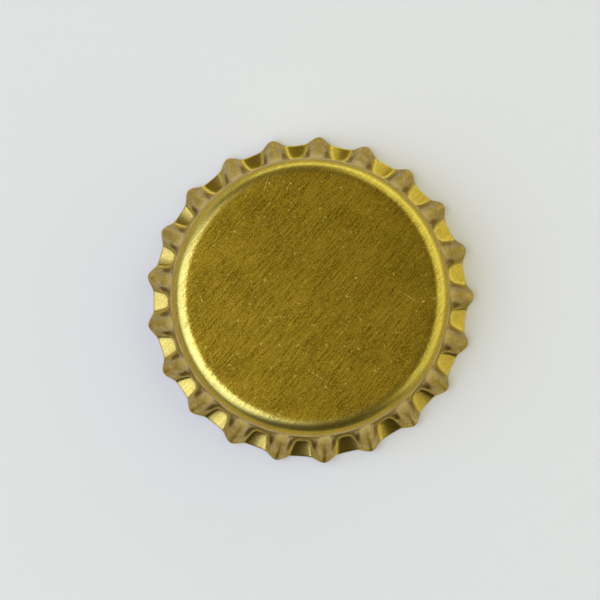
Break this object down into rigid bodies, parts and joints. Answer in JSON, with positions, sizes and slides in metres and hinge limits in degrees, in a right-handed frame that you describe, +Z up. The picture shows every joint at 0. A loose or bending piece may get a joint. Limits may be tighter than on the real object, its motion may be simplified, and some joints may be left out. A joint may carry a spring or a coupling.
{
  "type": "bottle cap",
  "caption": "Round pressed-metal bottle closure with a flat panel, a rounded corner, a flared fluted skirt and a soft sealing liner inside.",
  "frame": {"origin": "on the cap's axis, in the plane that the skirt's cut edge rests on", "axes": "+Z up, out of the closed panel; +X and +Y across, one degree from a flute's crest at +X"},
  "size_m": [0.0319, 0.032, 0.006],
  "materials": {
    "lacquered_tinplate": "gold lacquer over brushed tinplate, glossy",
    "liner_polymer": "soft moulded polymer, satin"
  },
  "bodies": {
    "root": {"shell": "lacquered_tinplate", "liner": "liner_polymer"}
  },
  "joints": []
}
